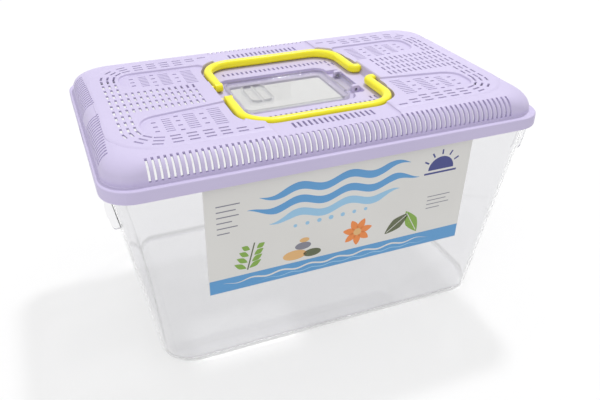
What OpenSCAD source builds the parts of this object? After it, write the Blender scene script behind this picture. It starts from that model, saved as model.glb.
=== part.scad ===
// Plastic pet keeper: a clear tapered tub, a slotted lid, a clear feeding
// flap hinged in the lid, two folding carry handles and a front label.
// Millimetres, +Z up, origin under the middle of the tub, front towards -Y.

/* [Tub] */
// Height of the tub to the top of its rim
tub_h = 165.8; // [120:0.1:240]
// How far the rim's flange stands out from the short walls
flange_l = 3; // [2:0.1:5]
// How far the rim's flange stands out from the long walls
flange_w = 4; // [2:0.1:6]
// How far each short wall leans in from rim to foot
lean_l = 23.5; // [8:0.5:40]
// How far each long wall leans in from rim to foot
lean_w = 9; // [4:0.5:20]
// Corner radius of the tub under the rim
tub_top_r = 14; // [8:0.5:24]
// Corner radius of the tub at its foot
tub_foot_r = 26; // [12:0.5:34]
// Thickness of the tub walls
tub_wall = 2; // [1.5:0.1:3]
// Thickness of the tub floor
tub_floor = 2.5; // [1.5:0.1:4]
// Height of the rounded edge round the foot
foot_edge = 4; // [2:0.5:8]
// Thickness of the flange round the rim
rim_t = 2.5; // [1.5:0.1:4]
// Height of the stacking ribs under the rim
rib_h = 30; // [10:0.5:40]
// Thickness of the stacking ribs
rib_t = 2; // [1:0.1:4]
// Distance of the stacking ribs from the middle, along the short ends
rib_y = 86; // [40:0.5:88]
// Play between each catch and its latch window
latch_play = 1.2; // [0.5:0.1:2]

/* [Lid shell] */
// Overall length of the lid
lid_l = 335; // [310:0.5:380]
// Overall width of the lid
lid_w = 212; // [206:0.5:250]
// Corner radius of the lid skirt
lid_r = 22.5; // [20:0.5:30]
// Wall thickness of the lid
lid_wall = 2; // [1.2:0.1:2.5]
// Height of the lid skirt
skirt_h = 9.1; // [7:0.1:16]
// Gap round the tub rim inside the skirt
rim_gap = 0.5; // [0.3:0.1:1.5]
// Gap between the tub rim and the underside of the lid
seat_gap = 0.2; // [0.1:0.1:0.5]
// Width of the flat ledge along the long sides of the raised top
ledge_w = 5.5; // [3:0.1:7]
// Width of the flat ledge across the short ends of the raised top
ledge_end = 3.5; // [2.5:0.1:6]
// Corner radius of the raised top at its foot
dome_r = 22; // [18:0.5:28]
// Straight height of the raised side above the ledge
side_h = 2; // [1:0.1:6]
// Radius of the rounded shoulder
shoulder_r = 12.8; // [8:0.1:14]
// Rise of the middle panel above the shoulder
panel_rise = 0.7; // [0.3:0.1:1.5]
// Distance of the middle panel from the lid's long edges
panel_side = 25.2; // [24:0.1:30]
// Distance of the middle panel from the lid's short edges
panel_end = 14; // [12:0.1:20]
// Corner radius of the middle panel
panel_r = 33; // [25:0.5:45]
// Length of the latch window at each short end
latch_w = 28; // [20:0.5:36]
// Height of the latch window
latch_h = 4; // [3:0.1:4.5]

/* [Lid slots] */
// Spacing of the slots over the shoulders
slot_pitch = 4.056; // [3:0.01:6]
// Width of each slot over the shoulders
slot_w = 1.7; // [0.8:0.1:2.4]
// Distance of the first long-side slot from the lid's short edge
slot_end = 30.8; // [26:0.1:60]
// Distance of the slots' upper ends from the lid's long edges
slot_top = 15.2; // [12:0.1:18]
// Distance of the end slots' upper ends from the lid's short edges
comb_top = 13.4; // [10:0.1:14]
// Half the blank length in the middle of each short end
comb_blank = 12; // [6:0.5:40]
// Distance of the last end slot from the lid's long edges
comb_side = 30; // [26:0.5:60]
// Width of the small air slots
vent_w = 1.8; // [0.8:0.1:2.4]
// Length of the air slots in the middle band
vent_l = 7.2; // [3:0.1:8]
// Spacing of the middle band's slots along the lid
band_pitch = 4.7; // [3:0.05:8]
// Spacing of the middle band's rows across the lid
band_row = 10.6; // [9:0.1:12]
// Distance of the outermost column of air slots from the short edges
band_end = 23.8; // [21:0.1:30]
// Length of the dashes along the long edges
dash_l = 7.2; // [3:0.1:9]
// Spacing of the dashes along the long edges
dash_pitch = 11.1; // [9:0.1:20]
// Distance of the outermost row of dashes from the long edges
dash_side = 28.5; // [27.5:0.1:32]
// Spacing of the three rows of dashes
dash_row = 5; // [3.5:0.1:5.5]
// Spacing of the lines in the recesses
line_pitch = 3.4; // [2.8:0.1:6]
// Width of the lines in the recesses
line_w = 1.1; // [0.6:0.1:1.8]

/* [Lid recesses] */
// Length of each of the four shallow recesses
recess_l = 69; // [66:0.5:72]
// Width of each of the four shallow recesses at its outer end
recess_w = 31; // [24:0.5:33]
// How much each shallow recess widens towards the middle
recess_slant = 9; // [0:0.5:10]
// Depth of the shallow recesses
recess_d = 2.1; // [1:0.1:3]
// Distance of the shallow recesses from the short edges
recess_end = 38; // [36:0.5:45]
// Distance of the shallow recesses from the long edges
recess_side = 44.5; // [43.5:0.5:47]
// Corner radius of the shallow recesses
recess_r = 10; // [4:0.5:16]
// Depth of the pocket that the handles lie in
pocket_d = 7.7; // [6:0.1:9]
// Gap between the handles' arms and the pocket's edge
pocket_gap = 2; // [1.5:0.1:3]
// Gap between the handles' grips and the pocket's edge
pocket_side = 2.5; // [1.5:0.1:3]
// Depth of the feeding window's well below the pocket
well_d = 3.4; // [3:0.1:6]
// Width of the well
well_w = 75; // [70:0.5:80]
// Distance of the feeding flap's middle from the lid's middle, towards -X
well_shift = 6.7; // [6:0.1:8]
// Corner radius of the well
well_r = 9; // [3:0.5:14]
// Length of the finger notch beside each handle grip
notch_l = 92; // [60:0.5:94]
// Depth of the finger notch below the middle panel
notch_d = 2.4; // [1:0.1:3]
// How far the pocket reaches out beside the handles' ends
ear_out = 1.2; // [1:0.1:6]
// Room round the handles' ends in those ears
ear_gap = 1.5; // [0.8:0.1:3]

/* [Flap] */
// Length of the flap's panel
flap_l = 89; // [70:0.5:90]
// Width of the flap's panel
flap_w = 64; // [50:0.5:68]
// Thickness of the flap
flap_t = 2; // [1.2:0.1:3]
// Corner radius of the flap
flap_r = 8; // [3:0.5:12]
// Height of the flap's raised rim
flap_rim_h = 1.4; // [0.5:0.1:2]
// Width of the flap's raised rim
flap_rim_w = 1.8; // [1:0.1:4]
// Gap between the flap and what it rests on
flap_gap = 0.2; // [0.1:0.1:0.6]
// Gap between the flap's free end and the well
flap_end_gap = 2.2; // [1:0.1:5]
// Width of the ledge that carries the flap
flap_seat = 4.5; // [2:0.1:8]
// Width of the flap's hinge tongue
tongue_w = 30; // [16:0.5:40]
// Radius of the hinge barrel
barrel_r = 2.2; // [1.8:0.1:3]
// Distance of the hinge axis from the flap's panel
hinge_reach = 8.5; // [6:0.1:9]
// Radius of the hinge pins
pin_r = 1.2; // [0.8:0.1:1.4]
// Clearance of every pin in its hole
pin_gap = 0.08; // [0.05:0.01:0.1]
// Thickness of the lugs that hold the hinge pins
lug_t = 3.6; // [2:0.1:6]
// Gap between the hinge tongue and each lug
lug_gap = 0.4; // [0.3:0.1:1]
// Length of the finger grip on the flap
grip_l = 20; // [12:0.5:30]
// Width of the finger grip on the flap
grip_w = 34; // [16:0.5:44]
// Height of the finger grip on the flap
grip_h = 2.4; // [1:0.1:3]

/* [Handles] */
// Distance between the outer faces of a handle's arms
handle_l = 124; // [114:0.5:128]
// Distance of the grip's outer face from the lid's middle
handle_out = 67.5; // [64:0.5:69.5]
// Width of the handle's section
handle_w = 7; // [5.4:0.1:8]
// Thickness of the handle's section
handle_t = 7; // [5.4:0.1:7.2]
// Rounding of the handle's section
handle_edge = 2.6; // [0.5:0.1:2.6]
// Outer corner radius of the handles
handle_r = 25; // [12:0.5:26]
// Distance of the handle pivots from the lid's middle
pivot_y = 13.5; // [8:0.1:20]
// Gap under the lying handles
handle_gap = 0.4; // [0.3:0.1:1]
// Radius of the handle pins
handle_pin_r = 2.2; // [1.5:0.1:2.6]

/* [Label] */
// Width of the label
label_w = 209; // [120:0.5:214]
// Height of the label's lower edge
label_z = 65; // [40:0.5:90]
// Distance of the label's upper edge below the rim's flange
label_tuck = 2.3; // [1:0.1:50]
// Distance of the label's middle from the tub's middle, towards +X
label_x = 1; // [0:0.1:2]
// Thickness of the label
label_t = 0.3; // [0.2:0.05:0.6]
// Thickness of the glue between the label and the wall
label_glue = 0.02; // [0.01:0.01:0.1]

/* [Hidden] */
$fn = 48;
e = 0.01;
lap = 0.5;

// heights
ledge_under = tub_h + seat_gap;
ledge_z = ledge_under + lid_wall;
skirt_z = ledge_z - skirt_h;
arc_z = ledge_z + side_h;
shoulder_z = arc_z + shoulder_r;
panel_z = shoulder_z + panel_rise;
recess_z = panel_z - recess_d;
notch_z = panel_z - notch_d;
pocket_z = panel_z - pocket_d;
latch_z0 = ledge_under - latch_h - 0.4;
well_z = pocket_z - well_d;

// plan sizes
rim_l = lid_l - 2 * (lid_wall + rim_gap);
rim_w = lid_w - 2 * (lid_wall + rim_gap);
rim_r = lid_r - lid_wall - rim_gap;
tub_top_l = rim_l - 2 * flange_l;
tub_top_w = rim_w - 2 * flange_w;
tub_foot_l = tub_top_l - 2 * lean_l;
tub_foot_w = tub_top_w - 2 * lean_w;
label_top = tub_h - rim_t - label_tuck;
catch_w = latch_w - 2 * latch_play;
dome_l = lid_l - 2 * ledge_end;
dome_w = lid_w - 2 * ledge_w;
cx = dome_l / 2 - dome_r;
cy = dome_w / 2 - dome_r;
arc_u = dome_r - shoulder_r;
panel_l = lid_l - 2 * panel_end;
panel_w = lid_w - 2 * panel_side;
pocket_l = handle_l + 2 * pocket_gap;
pocket_w = 2 * (handle_out + pocket_side);
pocket_r = handle_r + pocket_gap;
ear_l = pocket_l + 2 * ear_out;
ear_w = 2 * (pivot_y + handle_t / 2 + ear_gap);

// flap and hinge
flap_x0 = -well_shift - flap_l / 2;
flap_x1 = -well_shift + flap_l / 2;
well_x0 = flap_x0 - flap_end_gap;
flap_z0 = well_z + flap_gap;
hinge_x = flap_x1 + hinge_reach;
hinge_z = flap_z0 + barrel_r;
well_l = flap_l + 2 * flap_end_gap;
nook_l = hinge_x + barrel_r + 2.2 - (flap_x1 - well_r);
nook_w = tongue_w + 2 * (lug_gap + lug_t) + 16;

// handles
pivot_z = pocket_z + handle_gap + handle_t / 2;
handle_in = handle_r - handle_w / 2;

// tub taper
function taper(a, b, z) = a + (b - a) * z / (tub_h - rim_t);
function tub_l_at(z) = taper(tub_foot_l, tub_top_l, z);
function tub_w_at(z) = taper(tub_foot_w, tub_top_w, z);
function tub_r_at(z) = taper(tub_foot_r, tub_top_r, z);
front_lean = atan((tub_top_w - tub_foot_w) / 2 / (tub_h - rim_t));

module rrect(l, w, r) {
    square([l - 2 * r, w], center = true);
    square([l, w - 2 * r], center = true);
    for (sx = [-1, 1])
        for (sy = [-1, 1])
            translate([sx * (l / 2 - r), sy * (w / 2 - r)])
                circle(r);
}

module rring(l, w, r, t) {
    difference() {
        rrect(l, w, r);
        rrect(l - 2 * t, w - 2 * t, max(r - t, 0.5));
    }
}

module slab(l, w, r, z, h) {
    translate([0, 0, z])
        linear_extrude(h)
            rrect(l, w, r);
}

module both_ways() {
    for (sx = [0, 1])
        for (sy = [0, 1])
            mirror([sx, 0, 0])
                mirror([0, sy, 0])
                    children();
}

// ---- tub ----
module tub_form(inset, z0, z1, edge) {
    hull() {
        slab(tub_l_at(z0) - 2 * (inset + edge * 0.7), tub_w_at(z0) - 2 * (inset + edge * 0.7),
            tub_r_at(z0) - inset, z0, e);
        slab(tub_l_at(z0 + edge) - 2 * inset, tub_w_at(z0 + edge) - 2 * inset,
            tub_r_at(z0 + edge) - inset, z0 + edge, e);
        slab(tub_l_at(z1) - 2 * inset, tub_w_at(z1) - 2 * inset,
            tub_r_at(z1) - inset, z1 - e, e);
    }
}

module stacking_rib() {
    rib_z = tub_h - rim_t - rib_h;
    wall_x = tub_l_at(rib_z) / 2 - tub_wall / 2;
    translate([0, rib_y + rib_t / 2, 0])
        rotate([90, 0, 0])
            linear_extrude(rib_t)
                polygon([
                    [wall_x, rib_z],
                    [wall_x + tub_wall / 2 + 3, rib_z],
                    [wall_x + tub_wall / 2 + 4.2, rib_z + 1.5],
                    [rim_l / 2, tub_h - rim_t - rib_h / 2],
                    [rim_l / 2, tub_h - lap],
                    [tub_top_l / 2 - tub_wall / 2, tub_h - lap]
                ]);
}

module tank() {
    color("aliceblue") {
        difference() {
            union() {
                tub_form(0, 0, tub_h - rim_t + lap, foot_edge);
                slab(rim_l, rim_w, rim_r, tub_h - rim_t, rim_t);
            }
            tub_form(tub_wall, tub_floor, tub_h - rim_t + 2 * lap, foot_edge - 1);
            slab(tub_top_l - 2 * tub_wall, tub_top_w - 2 * tub_wall,
                tub_top_r - tub_wall, tub_h - rim_t, rim_t + 1);
        }
        both_ways()
            stacking_rib();
        for (s = [-1, 1])
            translate([s * (rim_l / 2 - tub_wall / 2) - tub_wall / 2, -catch_w / 2, latch_z0 + latch_play])
                cube([tub_wall, catch_w, tub_h - latch_z0 - latch_play]);
    }
}

// ---- lid ----
// skirt and ledge
module lid_skirt() {
    difference() {
        slab(lid_l, lid_w, lid_r, skirt_z, skirt_h);
        slab(lid_l - 2 * lid_wall, lid_w - 2 * lid_wall, lid_r - lid_wall, skirt_z - 1, ledge_under - skirt_z + 1);
        slab(dome_l - 2 * lid_wall, dome_w - 2 * lid_wall, dome_r - lid_wall, skirt_z, skirt_h + 1);
        for (s = [-1, 1])
            translate([s * (lid_l / 2 - lid_wall), 0, latch_z0 + latch_h / 2])
                cube([3 * lid_wall, latch_w, latch_h], center = true);
    }
}

// raised side and rounded shoulder
module dome_section() {
    difference() {
        union() {
            translate([0, ledge_under])
                square([dome_r, arc_z - ledge_under]);
            translate([0, arc_z])
                square([arc_u, shoulder_r]);
            intersection() {
                translate([arc_u, arc_z])
                    circle(shoulder_r, $fn = 96);
                translate([arc_u - e, arc_z - e])
                    square(shoulder_r + 1);
            }
        }
        translate([-1, ledge_under - 1])
            square([dome_r - lid_wall + 1, arc_z - ledge_under + 1]);
        translate([-1, arc_z - 1])
            square([arc_u + 1, shoulder_r - lid_wall + 1]);
        intersection() {
            translate([arc_u, arc_z])
                circle(shoulder_r - lid_wall, $fn = 96);
            translate([arc_u - e, arc_z - 1])
                square(shoulder_r + 1);
        }
    }
}

module dome_corner() {
    translate([cx, cy, 0])
        rotate_extrude(angle = 90, $fn = 96)
            dome_section();
}

module dome_long_side() {
    translate([-cx, -cy, 0])
        rotate([90, 0, 0])
            rotate([0, 90, 0])
                linear_extrude(2 * cx)
                    mirror([1, 0])
                        dome_section();
}

module dome_short_side() {
    translate([cx, cy, 0])
        rotate([90, 0, 0])
            linear_extrude(2 * cy)
                dome_section();
}

// slots that run over the shoulder of a long side
module shoulder_slots() {
    n = floor((lid_l - 2 * slot_end) / slot_pitch) + 1;
    z0 = ledge_z + lid_wall;
    for (i = [0 : n - 1])
        translate([(i - (n - 1) / 2) * slot_pitch - slot_w / 2, -lid_w / 2 + ledge_w - 1, z0])
            cube([slot_w, slot_top - ledge_w + 1, shoulder_z - z0 + 1]);
}

// shorter slots that flank the blank middle of a short end
module end_slots() {
    run = lid_w / 2 - comb_side - comb_blank;
    n = floor(run / slot_pitch) + 1;
    z0 = ledge_z + lid_wall;
    for (s = [-1, 1])
        for (i = [0 : n - 1])
            translate([
                lid_l / 2 - comb_top + 2.5 * (i / n),
                s * (comb_blank + i * slot_pitch) - slot_w / 2,
                z0 + 3 * (i / n)
            ])
                cube([comb_top - ledge_end + 1, slot_w, shoulder_z - z0 + 1]);
}

module long_side_slotted() {
    difference() {
        dome_long_side();
        shoulder_slots();
    }
}

module short_side_slotted() {
    difference() {
        dome_short_side();
        end_slots();
    }
}

// the rows of small slots
band_x1 = lid_l / 2 - band_end;
band_x0 = pocket_l / 2 + 12;
band_n = floor((band_x1 - band_x0) / band_pitch) + 1;
dash_y = lid_w / 2 - dash_side;
turn_x = band_x1 - 27;
turn_y = dash_y - 27;

module y_slot(x, y, l) {
    translate([x - vent_w / 2, y - l / 2])
        square([vent_w, l]);
}

module x_slot(x, y, l, w = vent_w) {
    translate([x - l / 2, y - w / 2])
        square([l, w]);
}

module quarter_vents() {
    // middle band: two rows this side of the centre line
    for (i = [0 : band_n - 1])
        for (j = [0, 1])
            y_slot(band_x1 - i * band_pitch, (j + 0.5) * band_row, vent_l);
    // three end columns
    for (i = [0 : 2])
        for (j = [2 : floor(turn_y / band_row - 0.5)])
            y_slot(band_x1 - i * band_pitch, (j + 0.5) * band_row, vent_l);
    // three dashes round the corner in each of the three rows
    for (i = [0 : 2])
        for (a = [14, 45, 73])
            translate([turn_x, turn_y])
                rotate(a)
                    y_slot(27 - i * dash_row, 0, vent_l);
    // three rows of dashes along the long edge
    n = floor((turn_x - 6.5 - notch_l / 2 - dash_l / 2) / dash_pitch) + 1;
    for (i = [0 : 2])
        for (j = [0 : n - 1 - i])
            x_slot(turn_x - 5.5 - j * dash_pitch, dash_y - i * dash_row, dash_l);
}

recess_x1 = lid_l / 2 - recess_end;
recess_x0 = recess_x1 - recess_l;
recess_y1 = lid_w / 2 - recess_side;
recess_y = recess_y1 - recess_w / 2;

// a rounded outer end and a body that widens towards the middle
module recess_outline(grow) {
    translate([(recess_x0 + recess_x1) / 2, recess_y])
        rrect(recess_l + 2 * grow, recess_w + 2 * grow, recess_r + grow);
    polygon([
        [recess_x0 - grow, recess_y1 + grow],
        [recess_x0 - grow, recess_y1 - recess_w - recess_slant - grow],
        [recess_x1 - recess_r, recess_y1 - recess_w - grow],
        [recess_x1 - recess_r, recess_y1 + grow]
    ]);
}

// one column of short lines, a share of the recess's length in from its outer end
module line_column(share, count, pitch, l, w) {
    yc = recess_y - recess_slant / 2 * share;
    for (j = [0 : count - 1])
        x_slot(recess_x1 - share * recess_l, yc + (j - (count - 1) / 2) * pitch, l, w);
}

module recess_vents() {
    rows = floor((recess_w - 4.5) / line_pitch);
    line_column(0.133, 3, 7.6, 3.2, vent_w);
    line_column(0.264, rows, line_pitch, 6.2, line_w);
    line_column(0.379, 4, 7.9, 3.2, vent_w);
    line_column(0.509, rows + 1, line_pitch, 8.2, line_w);
    line_column(0.644, 3, 8.6, 3.2, vent_w);
    line_column(0.786, rows + 2, line_pitch, 9.3, line_w);
}

// the pocket that the handles lie in, with an ear beside each handle end
module pocket_outline(grow) {
    rrect(pocket_l + 2 * grow, pocket_w + 2 * grow, pocket_r + grow);
    rrect(ear_l + 2 * grow, ear_w + 2 * grow, 2 + grow);
}

module pocket_vents() {
    n = floor((handle_l / 2 - handle_w - 7.5) / slot_pitch);
    for (s = [-1, 1]) {
        for (i = [-n : n + 1])
            y_slot(i * slot_pitch, s * (well_w / 2 + 10.5), 5.8);
        y_slot((n + 1) * slot_pitch, s * (well_w / 2 + 2.5), 5);
        y_slot((n + 2) * slot_pitch, s * (well_w / 2 + 3.5), 7);
    }
}

module notch_vents() {
    n = floor((notch_l - 28) / slot_pitch / 2) + 0.5;
    for (i = [-n : n])
        y_slot(i * slot_pitch, lid_w / 2 - dash_side, 8.6);
}

// the well of the feeding window with the nook for its hinge
module well_outline(grow) {
    translate([-well_shift, 0])
        rrect(well_l + 2 * grow, well_w + 2 * grow, well_r + grow);
    translate([hinge_x + barrel_r + 2.2 - nook_l / 2, 0])
        rrect(nook_l + 2 * grow, nook_w + 2 * grow, 3 + grow);
}

module panel_2d() {
    difference() {
        rrect(panel_l, panel_w, panel_r);
        both_ways()
            recess_outline(0);
        pocket_outline(0);
        square([notch_l, lid_w], center = true);
        both_ways()
            quarter_vents();
    }
}

module recess_2d() {
    difference() {
        both_ways()
            recess_outline(lid_wall);
        pocket_outline(0);
        both_ways()
            recess_vents();
        both_ways()
            quarter_vents();
    }
}

// frame between the shoulders and the panel
module frame_2d() {
    difference() {
        square([2 * cx + 2 * lap, 2 * cy + 2 * lap], center = true);
        rrect(panel_l - 2 * lid_wall, panel_w - 2 * lid_wall, panel_r - lid_wall);
    }
}

module notch_2d() {
    difference() {
        translate([0, (pocket_w / 2 + cy) / 2])
            square([notch_l + 2 * lid_wall, cy - pocket_w / 2 + 2 * lap], center = true);
        notch_vents();
    }
}

module pocket_floor_2d() {
    difference() {
        pocket_outline(lid_wall);
        well_outline(0);
        pocket_vents();
    }
}

module well_floor_2d() {
    difference() {
        well_outline(lid_wall);
        translate([-well_shift, 0])
            rrect(flap_l - 2 * flap_seat, flap_w - 2 * flap_seat, 3);
    }
}

module hinge_lug() {
    w = 2 * barrel_r + 2;
    translate([hinge_x - w / 2, tongue_w / 2 + lug_gap, well_z - lap])
        cube([w, lug_t, barrel_r * 2 + flap_gap + lap + 1]);
}

module lid_plates() {
    // middle panel
    translate([0, 0, panel_z - panel_rise - lid_wall + 0.3])
        linear_extrude(panel_rise + lid_wall - 0.3)
            panel_2d();
    // frame under its edge
    translate([0, 0, shoulder_z - lid_wall])
        linear_extrude(lid_wall)
            difference() {
                frame_2d();
                square([notch_l, lid_w], center = true);
            }
    // floors of the four shallow recesses
    translate([0, 0, recess_z - lid_wall])
        linear_extrude(lid_wall)
            recess_2d();
    // finger notches beside the handle grips
    for (s = [0, 1])
        mirror([0, s, 0])
            translate([0, 0, notch_z - lid_wall])
                linear_extrude(lid_wall)
                    notch_2d();
}

module pocket_walls() {
    difference() {
        translate([0, 0, pocket_z - lid_wall])
            linear_extrude(panel_z - pocket_z + lid_wall)
                difference() {
                    pocket_outline(lid_wall);
                    pocket_outline(0);
                }
        translate([0, 0, recess_z])
            linear_extrude(recess_d + 1)
                both_ways()
                    recess_outline(0);
        for (s = [-1, 1])
            translate([0, s * (pocket_w / 2 + 5), notch_z + 5])
                cube([notch_l, 14, 10], center = true);
    }
}

module lid() {
    color("plum")
        difference() {
            union() {
                lid_skirt();
                both_ways()
                    dome_corner();
                for (s = [0, 1])
                    mirror([0, s, 0])
                        long_side_slotted();
                for (s = [0, 1])
                    mirror([s, 0, 0])
                        short_side_slotted();
                lid_plates();
                pocket_walls();
                translate([0, 0, pocket_z - lid_wall])
                    linear_extrude(lid_wall)
                        pocket_floor_2d();
                translate([0, 0, well_z - lid_wall])
                    linear_extrude(pocket_z - well_z + lid_wall)
                        difference() {
                            well_outline(lid_wall);
                            well_outline(0);
                        }
                translate([0, 0, well_z - lid_wall])
                    linear_extrude(lid_wall)
                        well_floor_2d();
                for (s = [0, 1])
                    mirror([0, s, 0])
                        hinge_lug();
            }
            translate([hinge_x, 0, hinge_z])
                rotate([90, 0, 0])
                    cylinder(r = pin_r + pin_gap, h = tongue_w + 2 * (lug_gap + lug_t) + 2, center = true);
            both_ways()
                translate([ear_l / 2 - 0.5, pivot_y, pivot_z])
                    rotate([0, 90, 0])
                        cylinder(r = handle_pin_r + pin_gap, h = lid_wall + 1);
        }
}

// ---- feeding flap ----
module window_flap() {
    color("azure") {
        mid = (flap_x0 + flap_x1) / 2;
        translate([mid, 0, flap_z0])
            linear_extrude(flap_t)
                rrect(flap_l, flap_w, flap_r);
        translate([mid, 0, flap_z0])
            linear_extrude(flap_t + flap_rim_h)
                rring(flap_l, flap_w, flap_r, flap_rim_w);
        translate([flap_x0 + 10 + grip_l / 2, 0, flap_z0])
            linear_extrude(flap_t + grip_h)
                rring(grip_l, grip_w, 6, 2);
        translate([flap_x0 + 10 + grip_l / 2 - 1, -grip_w / 2 + 1, flap_z0])
            cube([2, grip_w - 2, flap_t + grip_h]);
        difference() {
            translate([flap_x1 - 1, -tongue_w / 2, flap_z0])
                cube([hinge_reach + 1, tongue_w, flap_t]);
            translate([hinge_x, 0, hinge_z])
                rotate([90, 0, 0])
                    cylinder(r = barrel_r * 0.6, h = tongue_w + 2, center = true);
        }
        translate([hinge_x, 0, hinge_z])
            rotate([90, 0, 0])
                cylinder(r = barrel_r, h = tongue_w, center = true);
        translate([hinge_x, 0, hinge_z])
            rotate([90, 0, 0])
                cylinder(r = pin_r, h = tongue_w + 2 * (lug_gap + lug_t), center = true);
    }
}

// ---- handles ----
module grip_section() {
    rrect(handle_w, handle_t, handle_edge);
}

module handle() {
    bar_y = handle_out - handle_w / 2;
    arm_x = handle_l / 2 - handle_w / 2;
    turn = handle_r - handle_w / 2;
    // grip
    translate([-(handle_l / 2 - handle_r), bar_y, pivot_z])
        rotate([90, 0, 90])
            linear_extrude(handle_l - 2 * handle_r)
                grip_section();
    for (s = [0, 1])
        mirror([s, 0, 0]) {
            // corner
            translate([handle_l / 2 - handle_r, handle_out - handle_r, pivot_z])
                rotate_extrude(angle = 90)
                    translate([turn, 0])
                        grip_section();
            // arm
            translate([arm_x, handle_out - handle_r, pivot_z])
                rotate([90, 0, 0])
                    linear_extrude(handle_out - handle_r - pivot_y)
                        grip_section();
            // eye turned outwards, and its pin
            translate([arm_x - handle_w / 2, pivot_y, pivot_z])
                rotate([0, 90, 0])
                    cylinder(r = handle_t / 2, h = ear_l / 2 - handle_gap - arm_x + handle_w / 2);
            translate([arm_x, pivot_y, pivot_z])
                rotate([0, 90, 0])
                    cylinder(r = handle_pin_r, h = ear_l / 2 + lid_wall - arm_x);
        }
}

module handle_rear() {
    color("gold")
        handle();
}

module handle_front() {
    color("yellow")
        mirror([0, 1, 0])
            handle();
}

// ---- label ----
module label() {
    color("lightsteelblue")
        translate([label_x - label_w / 2, -tub_foot_w / 2, 0])
            rotate([front_lean, 0, 0])
                translate([0, -label_t - label_glue, label_z / cos(front_lean)])
                    cube([label_w, label_t, (label_top - label_z) / cos(front_lean)]);
}

tank();
lid();
window_flap();
handle_rear();
handle_front();
label();
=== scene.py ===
# %% [markdown]
# Plastic pet keeper: a clear tapered tub with a lavender lid, a clear feeding
# flap, two yellow folding handles and a printed card on the front. The packed
# model is loaded first, because every piece below is placed by its numbers.

# %% Load the frame
import math

import bmesh
import bpy
from mathutils import Matrix, Vector


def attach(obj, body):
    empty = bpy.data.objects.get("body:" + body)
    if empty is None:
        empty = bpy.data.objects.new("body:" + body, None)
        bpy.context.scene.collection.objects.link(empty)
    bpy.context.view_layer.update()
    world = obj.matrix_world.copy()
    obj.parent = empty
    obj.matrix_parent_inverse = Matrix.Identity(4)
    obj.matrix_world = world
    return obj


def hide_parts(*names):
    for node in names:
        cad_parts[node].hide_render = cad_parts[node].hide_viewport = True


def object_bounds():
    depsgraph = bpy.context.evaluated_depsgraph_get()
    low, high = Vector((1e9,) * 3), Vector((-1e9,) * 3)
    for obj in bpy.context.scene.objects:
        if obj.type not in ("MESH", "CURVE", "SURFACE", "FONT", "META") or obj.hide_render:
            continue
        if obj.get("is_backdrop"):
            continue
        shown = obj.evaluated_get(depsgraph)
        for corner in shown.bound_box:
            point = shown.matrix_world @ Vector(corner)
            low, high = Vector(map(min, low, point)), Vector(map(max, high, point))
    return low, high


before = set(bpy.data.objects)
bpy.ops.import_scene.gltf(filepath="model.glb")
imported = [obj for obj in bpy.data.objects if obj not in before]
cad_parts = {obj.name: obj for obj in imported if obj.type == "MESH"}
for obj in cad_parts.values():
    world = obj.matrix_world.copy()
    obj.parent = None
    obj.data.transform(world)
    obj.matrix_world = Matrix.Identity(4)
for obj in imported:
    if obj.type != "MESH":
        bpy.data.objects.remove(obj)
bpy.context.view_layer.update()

# %% [markdown]
# Everything is modelled in millimetres and scaled once when a piece is
# finished. These are the sizes that more than one piece uses; they repeat the
# sizes of the solids, so that each dressed piece stays where its node is.

# %% Shared sizes in millimetres
MM = 0.001
LID_L, LID_W, LID_R = 335.0, 212.0, 22.5
WALL = 2.0
SKIRT_Z, LEDGE_Z = 158.9, 168.0
LEDGE_SIDE, LEDGE_END = 5.5, 3.5
DOME_L, DOME_W = LID_L - 2 * LEDGE_END, LID_W - 2 * LEDGE_SIDE
SIDE_TOP = 170.0
SHOULDER_R = 12.8
SHOULDER_Z = SIDE_TOP + SHOULDER_R
PANEL_Z = 183.5
RECESS_Z = 181.4
NOTCH_Z = 181.1
POCKET_Z = 175.8
WELL_Z = 172.4
FLAP_X0, FLAP_X1, FLAP_Z = -51.2, 37.8, 172.6
HINGE_X, HINGE_Z = 46.3, 174.8
PIVOT_Y, PIVOT_Z = 13.5, 179.7
FLAP_PIN_R, HANDLE_PIN_R, PIN_PLAY = 1.2, 2.2, 0.08
TUB_TOP_L, TUB_TOP_W, TUB_TOP_R = 324.0, 199.0, 14.0
TUB_FOOT_L, TUB_FOOT_W, TUB_FOOT_R = 277.0, 181.0, 26.0
RIM_UNDER, RIM_TOP = 163.3, 165.8
print("lid", LID_L, "x", LID_W, "mm, tub to", RIM_TOP, "mm")

# %% [markdown]
# Small helpers. A rounded rectangle is a square whose corners are bevelled;
# a form that changes its outline on the way up is a stack of such outlines
# with bridged edges, which is how a moulder would draw a tapered tub.

# %% Outline helpers
def rounded(bm, geom, radius, segments, affect="VERTICES"):
    """Rounds corners or edges."""
    bmesh.ops.bevel(bm, geom=geom, offset=radius, offset_type="OFFSET", segments=segments,
                    profile=0.5, affect=affect, clamp_overlap=True, material=-1)


def outline(bm, length, width, radius, z, centre=(0, 0), segments=10):
    """One flat rounded rectangle, as a face."""
    known = set(bm.faces)
    made = bmesh.ops.create_grid(bm, x_segments=1, y_segments=1, size=0.5)["verts"]
    bmesh.ops.scale(bm, verts=made, vec=(length, width, 1))
    bmesh.ops.translate(bm, verts=made, vec=(centre[0], centre[1], z))
    if radius > 0:
        rounded(bm, made, radius, segments)
    return next(f for f in bm.faces if f not in known)


def polygon(bm, corners, z, radii, segments=8):
    """One flat polygon with rounded corners, as a face."""
    known = set(bm.faces)
    verts = [bm.verts.new((x, y, z)) for x, y in corners]
    bm.faces.new(verts)
    for vert, radius in zip(verts, radii):
        if radius > 0:
            rounded(bm, [vert], radius, segments)
    return next(f for f in bm.faces if f not in known)


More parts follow.
